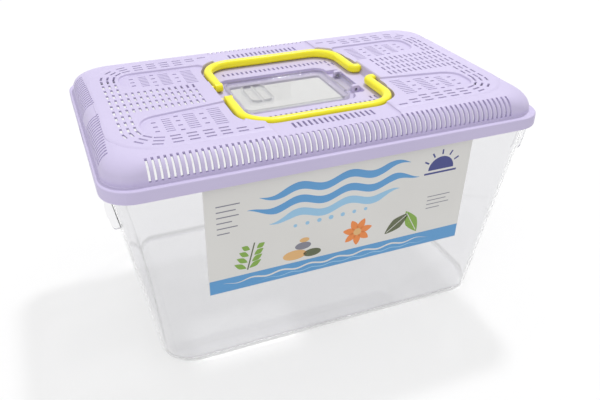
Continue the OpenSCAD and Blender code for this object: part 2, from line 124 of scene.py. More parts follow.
def bridged(bm, faces, cap_first=True, cap_last=True):
    """Joins a stack of outlines into one skin, keeping the end faces as caps."""
    loops = [list(f.edges) for f in faces]
    drop = [f for i, f in enumerate(faces)
            if not (i == 0 and cap_first) and not (i == len(faces) - 1 and cap_last)]
    bmesh.ops.delete(bm, geom=drop, context="FACES_ONLY")
    for a, b in zip(loops, loops[1:]):
        bmesh.ops.bridge_loops(bm, edges=a + b)


def verts_of(geom):
    """The vertices in what a bmesh operator gives back."""
    return [g for g in geom if isinstance(g, bmesh.types.BMVert)]


def face_of(geom):
    """The first face in what a bmesh operator gives back."""
    return next(g for g in geom if isinstance(g, bmesh.types.BMFace))


def placed(bm, verts, turn, vec):
    """Turns vertices about the origin and then moves them."""
    bmesh.ops.rotate(bm, verts=verts, cent=(0, 0, 0), matrix=turn)
    bmesh.ops.translate(bm, verts=verts, vec=vec)


def raised(bm, faces, height):
    """Gives flat faces a thickness and keeps them as one side; gives back what grew."""
    grown = bmesh.ops.extrude_face_region(bm, geom=faces, use_keep_orig=True)["geom"]
    bmesh.ops.translate(bm, verts=verts_of(grown), vec=(0, 0, height))
    return grown


# %% [markdown]
# Hollows. What a mould's core presses into the lid has a rounded lip and a
# rounded corner at its floor, drawn in step by step. The corner radius of an
# outline has to be larger than all its steps inwards, or they cross.

# %% Helpers for hollows
LIP_START = 12  # degrees round the lip where the form leaves the surface
LEAST_STEP = 0.002


def sunk(bm, face, drop, steps):
    """Carries a flat outline down into a closed form; steps are (inwards, down)."""
    floor = face_of(raised(bm, [face], -drop))
    bmesh.ops.recalc_face_normals(bm, faces=bm.faces[:])
    for inwards, down in steps:
        bmesh.ops.inset_region(bm, faces=[floor], thickness=max(inwards, LEAST_STEP), depth=down,
                               use_even_offset=True)


def lip_and_floor(depth, lip, fillet, spread=1.0, segments=4):
    """Steps for sunk(): a rounded lip at the top, a rounded corner at the floor."""
    points = []
    for i in range(segments + 1):
        a = math.radians(LIP_START + (90 - LIP_START) * i / segments)
        points.append((lip * math.sin(a) * spread, lip * (1 - math.cos(a))))
    for i in range(segments + 1):
        a = math.radians(90 * i / segments)
        points.append((lip * spread + fillet * (1 - math.cos(a)) * spread,
                       depth - fillet + fillet * math.sin(a)))
    steps = [(b[0] - a[0], b[1] - a[1]) for a, b in zip(points, points[1:])]
    return [s for s in steps if s[0] > 1e-6 or s[1] > 1e-6]


# %% [markdown]
# Objects. Booleans join and cut the forms. The lid's forms are cut into cells
# first, so that the cuts that follow meet small flat faces.

# %% Object helpers
CELL, CELL_SHIFT = 13.13, 0.37


def celled(bm):
    """Cuts a mesh along an upright grid, so that later cuts meet small flat faces."""
    for axis in (Vector((1, 0, 0)), Vector((0, 1, 0))):
        reach = [v.co.dot(axis) for v in bm.verts]
        at = (math.floor(min(reach) / CELL) + CELL_SHIFT) * CELL
        while at < max(reach):
            bmesh.ops.bisect_plane(bm, geom=bm.verts[:] + bm.edges[:] + bm.faces[:], dist=1e-4,
                                   plane_co=axis * at, plane_no=axis)
            at += CELL


def plain_object(name, bm, cells=False):
    """A scratch object in millimetres."""
    if cells:
        celled(bm)
    bmesh.ops.recalc_face_normals(bm, faces=bm.faces[:])
    mesh = bpy.data.meshes.new(name)
    bm.to_mesh(mesh)
    bm.free()
    obj = bpy.data.objects.new(name, mesh)
    bpy.context.scene.collection.objects.link(obj)
    return obj


def sunk_form(name, length, width, radius, top, drop, steps=(), grow=0.0, centres=((0, 0),),
              segments=10, cells=True):
    """Rounded rectangles, larger by grow all round and sunk into closed forms, as one object."""
    bm = bmesh.new()
    for centre in centres:
        face = outline(bm, length + 2 * grow, width + 2 * grow, radius + grow, top, centre, segments)
        sunk(bm, face, drop, steps)
    return plain_object(name, bm, cells=cells)


def combine(target, tool, operation="DIFFERENCE"):
    """Applies one boolean with another object and removes that object."""
    for obj in (target, tool):
        bm = bmesh.new()
        bm.from_mesh(obj.data)
        open_edges = sum(len(e.link_faces) != 2 for e in bm.edges)
        bm.free()
        if open_edges:
            raise RuntimeError(f"{obj.name} is not closed: {open_edges} edges")
    mod = target.modifiers.new("cut", "BOOLEAN")
    mod.object, mod.operation, mod.solver = tool, operation, "MANIFOLD"
    graph = bpy.context.evaluated_depsgraph_get()
    made = bpy.data.meshes.new_from_object(target.evaluated_get(graph))
    target.modifiers.clear()
    old, target.data = target.data, made
    bpy.data.meshes.remove(old)
    bpy.data.objects.remove(tool)
    if not len(target.data.polygons):
        raise RuntimeError(f"{target.name}: the boolean left nothing")


# %% [markdown]
# A finished piece is scaled to metres, split into triangles and shaded smooth
# but for its real edges. Its normals are weighted by area, so that the big
# flat faces of a moulding stay flat beside their narrow rounded edges.

# %% Finishing a piece
UPRIGHT = 0.8  # faces whose normal rises less than this count as sides


def finished(obj, name, body, nodes, materials, sharp=32, sides=False):
    """Scales a piece to metres, sets its edges, materials and body, and hides the CAD parts that it stands in
    for; sides gives its upright faces the second material."""
    bm = bmesh.new()
    bm.from_mesh(obj.data)
    bmesh.ops.scale(bm, verts=bm.verts[:], vec=(MM, MM, MM))
    bmesh.ops.triangulate(bm, faces=bm.faces[:], quad_method="BEAUTY", ngon_method="EAR_CLIP")
    bmesh.ops.remove_doubles(bm, verts=bm.verts[:], dist=1e-6)
    bmesh.ops.dissolve_degenerate(bm, edges=bm.edges[:], dist=5e-7)
    bm.normal_update()
    for face in bm.faces:
        face.smooth = True
        if sides:
            face.material_index = int(abs(face.normal.z) < UPRIGHT)
    for edge in bm.edges:
        edge.smooth = len(edge.link_faces) == 2 and edge.calc_face_angle(0) < math.radians(sharp)
    obj.data.materials.clear()
    for material in materials:
        obj.data.materials.append(material)
    bm.to_mesh(obj.data)
    bm.free()
    obj.name = obj.data.name = name
    mod = obj.modifiers.new("normals", "WEIGHTED_NORMAL")
    mod.keep_sharp, mod.weight = True, 80
    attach(obj, body)
    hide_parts(*nodes)
    print(name, len(obj.data.polygons), "faces")


# %% [markdown]
# The lavender lid is opaque moulded polypropylene with a satin skin, and the
# yellow handles are a little glossier. The pigment drifts slightly, and the
# grain is too fine to see from here, so the bump only breaks up highlights.

# %% Opaque plastics
def principled(name, color, roughness, **sockets):
    """A material with a Principled shader; gives back it, its tree and the shader."""
    mat = bpy.data.materials.new(name)
    mat.use_nodes = True
    shader = mat.node_tree.nodes["Principled BSDF"]
    shader.inputs["Base Color"].default_value = (*color, 1)
    shader.inputs["Roughness"].default_value = roughness
    for key, value in sockets.items():
        shader.inputs[key].default_value = value
    return mat, mat.node_tree, shader


def add(tree, kind, **settings):
    """A new node with its settings."""
    node = tree.nodes.new(kind)
    for key, value in settings.items():
        setattr(node, key, value)
    return node


def noise(tree, place, scale, detail):
    """Noise in the piece's own space; gives back its value."""
    node = add(tree, "ShaderNodeTexNoise")
    node.inputs["Scale"].default_value = scale
    node.inputs["Detail"].default_value = detail
    tree.links.new(place.outputs["Object"], node.inputs["Vector"])
    return node.outputs["Fac"]


def bumped(tree, shader, height, strength, distance):
    """Bumps a surface by a height."""
    bump = add(tree, "ShaderNodeBump")
    bump.inputs["Strength"].default_value = strength
    bump.inputs["Distance"].default_value = distance
    tree.links.new(height, bump.inputs["Height"])
    tree.links.new(bump.outputs["Normal"], shader.inputs["Normal"])


def moulded(name, dark, light, roughness, grain=0.00035, depth=0.00004):
    """Opaque moulded plastic: a slow drift of colour and a fine satin grain."""
    mat, tree, shader = principled(name, light, roughness)
    place = add(tree, "ShaderNodeTexCoord")
    ramp = add(tree, "ShaderNodeValToRGB")
    for end, at, color in zip(ramp.color_ramp.elements, (0.3, 0.7), (dark, light)):
        end.position, end.color = at, (*color, 1)
    tree.links.new(noise(tree, place, 14, 2), ramp.inputs["Fac"])
    tree.links.new(ramp.outputs["Color"], shader.inputs["Base Color"])
    bumped(tree, shader, noise(tree, place, 1 / grain, 3), 0.25, depth)
    return mat


LAVENDER = moulded("lavender_plastic", (0.575, 0.515, 0.735), (0.605, 0.545, 0.765), 0.5)
YELLOW = moulded("yellow_plastic", (0.98, 0.88, 0.010), (1.0, 0.92, 0.014), 0.34)
print("opaque plastics:", LAVENDER.name, YELLOW.name)

# %% [markdown]
# The tub and the flap are clear polystyrene. Light passes such thin walls
# almost unbent, so shadow rays go straight through with a slight tint, and a
# coat gives the glints. A ramp over the height paints a darker band of shade
# just above the tub's floor, where the foot's curve is seen edge on. The flap
# has a low index, so that little bends behind it; its upright faces are
# painted greyer as shade.

# %% Clear plastics
TONE_SPAN = 20.0  # mm of height that the ramp covers
# Painted shade on the foot's curve: how dark the tint is drawn there, and the heights where that is full
FOOT_PAINTED_SHADE, FOOT_LOW, FOOT_HIGH = 0.72, 3.4, 5.4
TONE_FROM, TONE_TO = 2.8, 8.0


def clear(name, tint, roughness, ior, through_tint):
    """Clear moulded plastic that lets the shadow rays through, as thin walls do."""
    mat, tree, shader = principled(name, tint, roughness, **{
        "Transmission Weight": 1.0, "IOR": ior, "Coat Weight": 0.8, "Coat Roughness": 0.05})
    place = add(tree, "ShaderNodeTexCoord")
    bumped(tree, shader, noise(tree, place, 22, 1), 0.012, 0.0004)
    height = add(tree, "ShaderNodeSeparateXYZ")
    # Over the height, a ramp paints a darker band of shade on the foot's curve just above the floor.
    foot = add(tree, "ShaderNodeMapRange")
    foot.inputs["From Max"].default_value = TONE_SPAN * MM
    ramp = add(tree, "ShaderNodeValToRGB")
    for at in (FOOT_LOW, FOOT_HIGH):
        ramp.color_ramp.elements.new(at / TONE_SPAN).color = (*(c * FOOT_PAINTED_SHADE for c in tint), 1)
    ends = ramp.color_ramp.elements[0], ramp.color_ramp.elements[-1]
    for end, at in zip(ends, (TONE_FROM, TONE_TO)):
        end.position, end.color = at / TONE_SPAN, (*tint, 1)
    path = add(tree, "ShaderNodeLightPath")
    through = add(tree, "ShaderNodeBsdfTransparent")
    through.inputs["Color"].default_value = (*through_tint, 1)
    mix = add(tree, "ShaderNodeMixShader")
    link = tree.links.new
    link(place.outputs["Object"], height.inputs["Vector"])
    link(height.outputs["Z"], foot.inputs["Value"])
    link(foot.outputs["Result"], ramp.inputs["Fac"])
    link(ramp.outputs["Color"], shader.inputs["Base Color"])
    link(path.outputs["Is Shadow Ray"], mix.inputs["Fac"])
    link(shader.outputs["BSDF"], mix.inputs[1])
    link(through.outputs["BSDF"], mix.inputs[2])
    link(mix.outputs["Shader"], tree.nodes["Material Output"].inputs["Surface"])
    return mat


CLEAR = clear("clear_tub_plastic", (0.895, 0.895, 0.905), 0.01, 1.46, (0.93, 0.93, 0.935))
CLEAR_FLAP = clear("clear_flap_plastic", (0.80, 0.80, 0.785), 0.05, 1.02, (0.93, 0.93, 0.93))
# The flap's upright faces get this greyer tint as painted shade along its edges.
FLAP_SIDES_PAINTED_SHADE = clear("clear_flap_sides_painted_shade", (0.62, 0.62, 0.65), 0.05, 1.02, (0.90, 0.90, 0.90))
print("clear plastics:", CLEAR.name, CLEAR_FLAP.name)

# %% [markdown]
# The lid's outer form is one stack of rounded rectangles: the skirt with its
# soft lower edge, the ledge, a small cove at the foot of the raised top, and
# the quarter-round shoulder. The raised top has its own plan: its corners are
# a little fuller at the shoulder than at the foot, as a draw-polished mould
# leaves them. The same stack two millimetres further in is the hollow below.

# %% Lid outer and inner forms
DOME_R, DOME_FULLER = 21.0, 0.3
SKIRT_EDGE, LEDGE_EDGE = 0.7, 1.2
COVE = ((-0.9, 0.0), (-0.35, 0.12), (0.0, 0.7))  # (inwards, up from the ledge)


def arc(cx, cz, r, a0, a1, n):
    """Points (inwards, z) of an arc between two angles; 0 degrees points outwards, 90 up."""
    angles = [math.radians(a0 + (a1 - a0) * i / n) for i in range(n + 1)]
    return [(cx - r * math.cos(a), cz + r * math.sin(a)) for a in angles]


def skirt_ring(bm, inwards, z):
    """The skirt's outline."""
    return outline(bm, LID_L - 2 * inwards, LID_W - 2 * inwards, LID_R - inwards, z)


def dome_ring(bm, inwards, z, grow=0.0):
    """The raised top's outline."""
    radius = DOME_R + DOME_FULLER * inwards - grow
    return outline(bm, DOME_L - 2 * inwards, DOME_W - 2 * inwards, radius, z)


bm = bmesh.new()
rings = [skirt_ring(bm, d, z) for d, z in arc(SKIRT_EDGE, SKIRT_Z + SKIRT_EDGE, SKIRT_EDGE, -75, 0, 2)
         + arc(LEDGE_EDGE, LEDGE_Z - LEDGE_EDGE, LEDGE_EDGE, 0, 85, 4)]
rings += [dome_ring(bm, d, z) for d, z in [(d, LEDGE_Z + up) for d, up in COVE]
          + arc(SHOULDER_R, SIDE_TOP, SHOULDER_R, 0, 90, 14)]
bridged(bm, rings)
lid = plain_object("lid_outer", bm, cells=True)

bm = bmesh.new()
rings = [skirt_ring(bm, WALL, SKIRT_Z - 3), skirt_ring(bm, WALL, LEDGE_Z - WALL - 0.01)]
rings += [dome_ring(bm, d, z, grow=WALL) for d, z in
          [(WALL, LEDGE_Z - WALL)] + arc(SHOULDER_R, SIDE_TOP, SHOULDER_R - WALL, 0, 88, 8)]
bridged(bm, rings)
hollow = plain_object("lid_hollow", bm, cells=True)
print("lid", len(lid.data.polygons), "faces outside,", len(hollow.data.polygons), "inside")

# %% [markdown]
# The middle panel stands 0.7 mm above the shoulder. Its edge is a soft slope,
# so it shows as a faint line. The panel is thin, which lets the ground show
# through its slots. Four shallow recesses lie in it, drawn once for the rear
# right quarter, slanted on the side that faces the middle, and mirrored.

# %% Middle panel and its recesses
PANEL_L, PANEL_W, PANEL_R, PANEL_WALL = 307.0, 161.6, 33.0, 1.4
PANEL_EDGE = ((2.4, SHOULDER_Z - 1.6), (1.6, SHOULDER_Z + 0.02), (0.9, SHOULDER_Z + 0.22),
              (0.1, PANEL_Z - 0.2), (-0.9, PANEL_Z - 0.03), (-1.8, PANEL_Z))  # (outwards, z)
RECESS_X0, RECESS_X1, RECESS_Y0, RECESS_Y1 = 60.5, 129.5, 30.5, 61.5
RECESS_SLANT, RECESS_RISE, RECESS_LIP = 9.0, 1.6, 2.0
RECESS_RADII, RECESS_WALL_RADII = (6.5, 13, 13, 6.5), (3, 12, 12, 3)
ABOVE, DROP = 1.0, 0.98  # an outline starts this far above the panel and drops to just above it


def recess_outline(bm, z, radii, segments=8):
    """The rear right recess with its lip."""
    x0, x1 = RECESS_X0 - RECESS_LIP, RECESS_X1 + RECESS_LIP
    y0, y1 = RECESS_Y0 - RECESS_LIP, RECESS_Y1 + RECESS_LIP
    corners = [(x0, y0 - RECESS_SLANT), (x1, y0 + RECESS_RISE), (x1, y1), (x0, y1)]
    return polygon(bm, corners, z, radii, segments=segments)


def mirrored_all(bm):
    """Copies what the mesh holds to the other three quarters."""
    source = bm.verts[:] + bm.edges[:] + bm.faces[:]
    for sx, sy in ((-1, 1), (1, -1), (-1, -1)):
        copy = bmesh.ops.duplicate(bm, geom=source)["geom"]
        bmesh.ops.scale(bm, verts=verts_of(copy), vec=(sx, sy, 1))
        if sx * sy < 0:
            bmesh.ops.reverse_faces(bm, faces=[g for g in copy if isinstance(g, bmesh.types.BMFace)])


bm = bmesh.new()
bridged(bm, [outline(bm, PANEL_L + 2 * out, PANEL_W + 2 * out, PANEL_R + out, z, segments=14)
             for out, z in PANEL_EDGE])
combine(lid, plain_object("panel", bm, cells=True), "UNION")
combine(hollow, sunk_form("thin_panel", PANEL_L, PANEL_W, PANEL_R, PANEL_Z - PANEL_WALL,
                          SHOULDER_R / 2, grow=-WALL), "UNION")

depth = PANEL_Z - RECESS_Z
bm = bmesh.new()
face = recess_outline(bm, PANEL_Z + ABOVE, RECESS_RADII, segments=12)
sunk(bm, face, DROP, lip_and_floor(depth, 1.0, 1.1, spread=1.5, segments=5))
mirrored_all(bm)
combine(lid, plain_object("recesses", bm, cells=True))

bm = bmesh.new()
face = recess_outline(bm, PANEL_Z - 1, RECESS_WALL_RADII)
sunk(bm, face, depth + 1, ())
mirrored_all(bm)
combine(hollow, plain_object("recess_walls", bm, cells=True))
print("recesses", round(depth, 2), "mm deep")

# %% [markdown]
# The pocket that the handles lie in is a deep rounded rectangle. At its short
# ends a second one with softer slopes takes in the handles' ends. The two
# notches run out over the shoulder in front of and behind it. The well in its
# floor holds the flap, with a nook for the flap's hinge.

# %% Pocket, side slopes, notches and well
POCKET_L, POCKET_W, POCKET_R, POCKET_LIP = 128.0, 139.0, 27.0, 0.9
SLOPE_L, SLOPE_W, SLOPE_R, SLOPE_X = 132.2, 104.0, 22.0, 0.9
WELL_L, WELL_W, WELL_R, WELL_X, WELL_LIP = 93.4, 75.0, 9.0, -6.7, 0.6
NOOK_X0, NOOK_X1, NOOK_W, NOOK_R = 28.8, 50.7, 54.0, 3.0
NOOK_L, NOOK_X = NOOK_X1 - NOOK_X0, (NOOK_X0 + NOOK_X1) / 2
NOTCH_L, NOTCH_LIPS, NOTCH_W, NOTCH_R, NOTCH_Y = 92.0, 9.0, 38.0, 9.0, 78.0
POCKET_DEPTH, WELL_DEPTH = PANEL_Z - POCKET_Z, POCKET_Z - WELL_Z

pocket = sunk_form("pocket", POCKET_L, POCKET_W, POCKET_R, PANEL_Z + ABOVE, DROP,
                   lip_and_floor(POCKET_DEPTH, POCKET_LIP, 1.0), grow=POCKET_LIP, segments=16)
slopes = sunk_form("side_slopes", SLOPE_L, SLOPE_W, SLOPE_R, PANEL_Z + ABOVE, DROP,
                   lip_and_floor(POCKET_DEPTH, 2.0, 3.0, spread=0.8, segments=6),
                   centres=((SLOPE_X, 0),), segments=14)
combine(pocket, slopes, "UNION")
combine(lid, pocket)
combine(lid, sunk_form("notches", NOTCH_L + NOTCH_LIPS, NOTCH_W, NOTCH_R, PANEL_Z + ABOVE, DROP,
                       lip_and_floor(PANEL_Z - NOTCH_Z, 1.1, 1.1, spread=3.6),
                       centres=((0, NOTCH_Y), (0, -NOTCH_Y)), segments=8))
well_steps = lip_and_floor(WELL_DEPTH, WELL_LIP, 0.6)
well = sunk_form("well", WELL_L, WELL_W, WELL_R, POCKET_Z + 3, 2.99, well_steps, grow=WELL_LIP,
                 centres=((WELL_X, 0),))
nook = sunk_form("nook", NOOK_L, NOOK_W, NOOK_R, POCKET_Z + 3, 2.99, well_steps, grow=WELL_LIP,
                 centres=((NOOK_X, 0),), segments=5)
combine(well, nook, "UNION")
combine(lid, well)
print("pocket", round(POCKET_DEPTH, 2), "mm deep, well", round(WELL_DEPTH, 2), "mm deeper")

# %% [markdown]
# A moulding keeps its wall under every hollow. The space inside the lid is
# drawn as one solid, so a copy of each hollow, one wall larger and deeper, is
# taken out of that space before the space is cut from the lid. The notches'
# copy is narrower than they are and ends where the shoulder curves down.

# %% Walls left under the hollows
NOTCH_UNDER_W, NOTCH_UNDER_R, NOTCH_UNDER = 22.0, 1.0, ((0, 74.0), (0, -74.0))
for name, length, width, radius, centres, low, segments in (
        ("pocket_wall", POCKET_L, POCKET_W, POCKET_R, ((0, 0),), POCKET_Z, 12),
        ("side_slope_wall", SLOPE_L, SLOPE_W, SLOPE_R, ((SLOPE_X, 0),), POCKET_Z, 10),
        ("notch_wall", NOTCH_L, NOTCH_UNDER_W, NOTCH_UNDER_R, NOTCH_UNDER, NOTCH_Z, 4),
        ("well_wall", WELL_L, WELL_W, WELL_R, ((WELL_X, 0),), WELL_Z, 10),
        ("nook_wall", NOOK_L, NOOK_W, NOOK_R, ((NOOK_X, 0),), WELL_Z, 4)):
    combine(hollow, sunk_form(name, length, width, radius, PANEL_Z, PANEL_Z - low + WALL, grow=WALL,
                              centres=centres, segments=segments))
combine(lid, hollow)
print("lid", len(lid.data.polygons), "faces before its slots")

# %% [markdown]
# Every slot is one small upright block, repeated by loops. All the slots of
# one kind are cut in one go, since none of them touch each other, as the pins
# of one mould plate would do it.

# %% Slot helper
class Slots:
    """Collects upright slot blocks in one mesh."""

    def __init__(self):
        self.bm = bmesh.new()
        self.count = 0

    def put(self, x, y, length, width, low, high, turn=0.0):
        """One slot; length lies along x before it is turned."""
        verts = bmesh.ops.create_cube(self.bm, size=1)["verts"]
        bmesh.ops.scale(self.bm, verts=verts, vec=(length, width, high - low))
        placed(self.bm, verts, Matrix.Rotation(turn, 3, "Z"), (x, y, (high + low) / 2))
        self.count += 1

    def cut(self, target, name):
        """Cuts all the slots out of an object."""
        combine(target, plain_object(name, self.bm))
        print(name, self.count)


# %% [markdown]
# Each long shoulder is pierced by one row of slots that wraps over the curve.
# Each short shoulder has two combs beside a blank middle,
# whose slots get shorter and start higher towards the corners.

# %% Slots over the shoulders
SLOT_PITCH, SLOT_W, SLOT_COUNT, SLOT_Y, SLOT_L = 4.056, 1.7, 68, 96.2, 10.8
SLOT_TOP = 190
COMB_BLANK, COMB_COUNT, COMB_IN, COMB_NARROWS, COMB_RISES = 12.0, 16, 13.4, 2.5, 3
QUARTERS = [(sx, sy) for sx in (-1, 1) for sy in (-1, 1)]
shoulder = Slots()
for i in range(SLOT_COUNT):
    for side in (-1, 1):
        shoulder.put((i - (SLOT_COUNT - 1) / 2) * SLOT_PITCH, side * SLOT_Y, SLOT_W, SLOT_L,
                     SIDE_TOP - 0.2, SLOT_TOP)
outer = LID_L / 2 - LEDGE_END + 1
for sx, sy in QUARTERS:
    for i in range(COMB_COUNT):
        inner = LID_L / 2 - COMB_IN + COMB_NARROWS * i / COMB_COUNT
        shoulder.put(sx * (inner + outer) / 2, sy * (COMB_BLANK + i * SLOT_PITCH), outer - inner,
                     SLOT_W, SIDE_TOP + COMB_RISES * i / COMB_COUNT, SLOT_TOP)
shoulder.cut(lid, "shoulder_slots")

# %% [markdown]
# The panel's slots follow one plan in its four quarters: a band of dashes
# along the short end that reaches inwards in two rows, three lines that turn
# the corner and run along the long side, and in the recess columns of short
# wide slots and of fine lines by turns.

# %% Slots in the middle panel
VENT_W, VENT_L, LINE_W = 1.8, 7.2, 1.1
TOP, UNDER = PANEL_Z + 3, PANEL_Z - 6
BAND_X, BAND_PITCH, BAND_ROW, BAND_COLUMNS, BAND_DEEP = 143.7, 4.7, 10.6, 15, 3
DASH_Y, DASH_ROW, DASH_PITCH, DASH_START = 77.5, 5.0, 11.1, 5.5
TURN_R, TURN_ANGLES = 27, (14, 45, 73)
COLUMN_Y = (RECESS_Y0 + RECESS_Y1) / 2
# share of the recess's length from its outer end, slots, pitch, slot length and width
COLUMNS = ((0.133, 3, 7.6, 3.2, VENT_W), (0.264, 7, 3.4, 6.2, LINE_W), (0.379, 4, 7.9, 3.2, VENT_W),
           (0.509, 8, 3.4, 8.2, LINE_W), (0.644, 3, 8.6, 3.2, VENT_W), (0.786, 9, 3.4, 9.3, LINE_W))


def band(slots, sx, sy):
    """The dashes along the short end; the first columns have five rows, the rest two."""
    for i in range(BAND_COLUMNS):
        for j in range(5 if i < BAND_DEEP else 2):
            slots.put(sx * (BAND_X - i * BAND_PITCH), sy * (j + 0.5) * BAND_ROW,
                      VENT_W, VENT_L, UNDER, TOP)


def corner(slots, sx, sy):
    """Three lines round the corner and along the long side."""
    centre_x, centre_y = BAND_X - TURN_R, DASH_Y - TURN_R
    for i in range(3):
        r = TURN_R - i * DASH_ROW
        for a in TURN_ANGLES:
            t = math.radians(a)
            slots.put(sx * (centre_x + r * math.cos(t)), sy * (centre_y + r * math.sin(t)),
                      VENT_L, VENT_W, UNDER, TOP, turn=sx * sy * (t + math.pi / 2))
        for j in range(6 - i):
            slots.put(sx * (centre_x - DASH_START - j * DASH_PITCH), sy * (DASH_Y - i * DASH_ROW),
                      VENT_L, VENT_W, UNDER, TOP)


def columns(slots, sx, sy):
    """The columns in one recess, centred between its slanted and its straight side."""
    for share, count, pitch, length, width in COLUMNS:
        x = RECESS_X1 - share * (RECESS_X1 - RECESS_X0)
        y = COLUMN_Y - RECESS_SLANT / 2 * share
        for j in range(count):
            slots.put(sx * x, sy * (y + (j - (count - 1) / 2) * pitch), length, width, UNDER, TOP)


NOTCH_SLOTS, NOTCH_SLOT_Y, NOTCH_SLOT_L = 16, 77.5, 8.6
panel = Slots()
for sx, sy in QUARTERS:
    band(panel, sx, sy)
    corner(panel, sx, sy)
    columns(panel, sx, sy)
for sy in (-1, 1):
    for i in range(NOTCH_SLOTS):
        panel.put((i - (NOTCH_SLOTS - 1) / 2) * SLOT_PITCH, sy * NOTCH_SLOT_Y,
                  VENT_W, NOTCH_SLOT_L, UNDER, TOP)
panel.cut(lid, "panel_slots")

# %% [markdown]
# A row of slots runs along both long sides of the pocket's floor. At the
# hinge end two more are set further in.

# %% Slots in the pocket
FLOOR_ROW_Y, FLOOR_SLOT_L = 48, 5.8
floor_slots = Slots()
for sy in (-1, 1):
    row = [(i, FLOOR_ROW_Y, FLOOR_SLOT_L) for i in range(-11, 13)] + [(12, 40, 5), (13, 41, 7)]
    for i, y, length in row:
        floor_slots.put(i * SLOT_PITCH, sy * y, VENT_W, length, POCKET_Z - 4, POCKET_Z + 2)
floor_slots.cut(lid, "pocket_slots")

# %% [markdown]
# The feeding window goes through the well's floor. Each short end of the
# skirt has a window for the tub's catch. Two rounded lugs in the nook hold
# the flap's pins, and four holes in the pocket's walls hold the handles'.

# %% Feeding window, latch windows, hinge lugs and pin holes
WINDOW_L, WINDOW_W, WINDOW_R = 80, 55, 3
LATCH_X0, LATCH_X1, LATCH_Y, LATCH_Z0, LATCH_Z1 = 163, 170, 14, 161.6, 165.6
LUG_HALF, LUG_Y0, LUG_Y1, LUG_TOP, LUG_ROUND = 3.2, 15.4, 19.0, 178.0, 1.6


def box_form(bm, corner, opposite):
    """A box between two opposite corners."""
    verts = bmesh.ops.create_cube(bm, size=1)["verts"]
    bmesh.ops.scale(bm, verts=verts, vec=[abs(b - a) for a, b in zip(corner, opposite)])
    bmesh.ops.translate(bm, verts=verts, vec=[(b + a) / 2 for a, b in zip(corner, opposite)])


def rod(bm, start, end, radius, segments=24):
    """A round rod between two points."""
    start, end = Vector(start), Vector(end)
    made = bmesh.ops.create_cone(bm, cap_ends=True, segments=segments, radius1=radius, radius2=radius,
                                 depth=(end - start).length)["verts"]
    placed(bm, made, (end - start).to_track_quat("Z", "Y").to_matrix(), (start + end) / 2)


combine(lid, sunk_form("window_hole", WINDOW_L, WINDOW_W, WINDOW_R, WELL_Z + 2, 8,
                       centres=((WELL_X, 0),), segments=5, cells=False))
bm = bmesh.new()
for side in (-1, 1):
    box_form(bm, (side * LATCH_X0, -LATCH_Y, LATCH_Z0), (side * LATCH_X1, LATCH_Y, LATCH_Z1))
combine(lid, plain_object("latch_holes", bm))

bm = bmesh.new()
for side in (-1, 1):
    box_form(bm, (HINGE_X - LUG_HALF, side * LUG_Y0, WELL_Z - 0.5),
             (HINGE_X + LUG_HALF, side * LUG_Y1, LUG_TOP))
tops = [e for e in bm.edges if min(v.co.z for v in e.verts) > LUG_TOP - 1
        and abs(e.verts[0].co.x - e.verts[1].co.x) < 0.1]
rounded(bm, tops, LUG_ROUND, 5, affect="EDGES")
combine(lid, plain_object("hinge_lugs", bm), "UNION")

bm = bmesh.new()
rod(bm, (HINGE_X, -20, HINGE_Z), (HINGE_X, 20, HINGE_Z), FLAP_PIN_R + PIN_PLAY)
for sy in (-1, 1):
    for sx in (-1, 1):
        rod(bm, (sx * 62, sy * PIVOT_Y, PIVOT_Z), (sx * 72, sy * PIVOT_Y, PIVOT_Z), HANDLE_PIN_R + PIN_PLAY)
combine(lid, plain_object("pin_holes", bm))
finished(lid, "lid_shell", "lid", ["lid"], [LAVENDER])

# %% [markdown]
# The tub is one moulding of clear polystyrene. On the real one the mould gives
# it a rounded foot, walls that lean out to the rim and a flange that the lid
# sits on. It is drawn as one skin: up the outside, over the flange and down
# the inside, because a clear piece shows both faces of its wall.

# %% Tub skin
FOOT_IN, FOOT_EDGE, FLOOR_Z, FLOOR_FILLET, FLOOR_IN = 2.8, 4.0, 2.5, 3.4, 0.9
FLANGE_L, FLANGE_W, FLANGE_R = 330.0, 207.0, 20.0
FLANGE_EDGE = ((0.4, RIM_UNDER), (0.0, RIM_UNDER + 0.4), (0.0, RIM_TOP - 0.5), (0.5, RIM_TOP))
QUARTER_TURN = [math.radians(90 * i / 5) for i in range(6)]


def taper(foot, top, z):
    """A size of the tub at one height."""
    return foot + (top - foot) * z / RIM_UNDER


def tub_ring(bm, inwards, z, level=None):
    """The tub's outline at one height; level sets the height that its size is taken from."""
    at = z if level is None else level
    return outline(bm, taper(TUB_FOOT_L, TUB_TOP_L, at) - 2 * inwards,
                   taper(TUB_FOOT_W, TUB_TOP_W, at) - 2 * inwards,
                   taper(TUB_FOOT_R, TUB_TOP_R, at) - inwards * 0.8, z, segments=14)


bm = bmesh.new()
rings = [tub_ring(bm, FOOT_IN * (1 - math.sin(a)), FOOT_EDGE * (1 - math.cos(a))) for a in QUARTER_TURN]
rings += [tub_ring(bm, 0, z) for z in (50, 100, RIM_UNDER - 0.4)]
rings += [outline(bm, FLANGE_L - 2 * d, FLANGE_W - 2 * d, FLANGE_R - d, z, segments=14)
          for d, z in FLANGE_EDGE]
rings += [tub_ring(bm, d, z, level=RIM_UNDER) for d, z in ((1.4, RIM_TOP), (WALL, RIM_TOP - 0.6))]
rings += [tub_ring(bm, WALL, z) for z in (RIM_UNDER, 100, 50)]
rings += [tub_ring(bm, WALL + FLOOR_FILLET * FLOOR_IN * (1 - math.cos(a)),
                   FLOOR_Z + FLOOR_FILLET * (1 - math.sin(a))) for a in QUARTER_TURN]
bridged(bm, rings)
tub = plain_object("tub_skin", bm)
print("tub skin of", len(rings), "outlines")

# %% [markdown]
# Two thin ribs stand out at each short end under the flange, so that stacked
# tubs don't jam. Each is a flat side view with the thickness of a wall. The
# catches are shallow blocks at the flange's ends that reach a little below it.

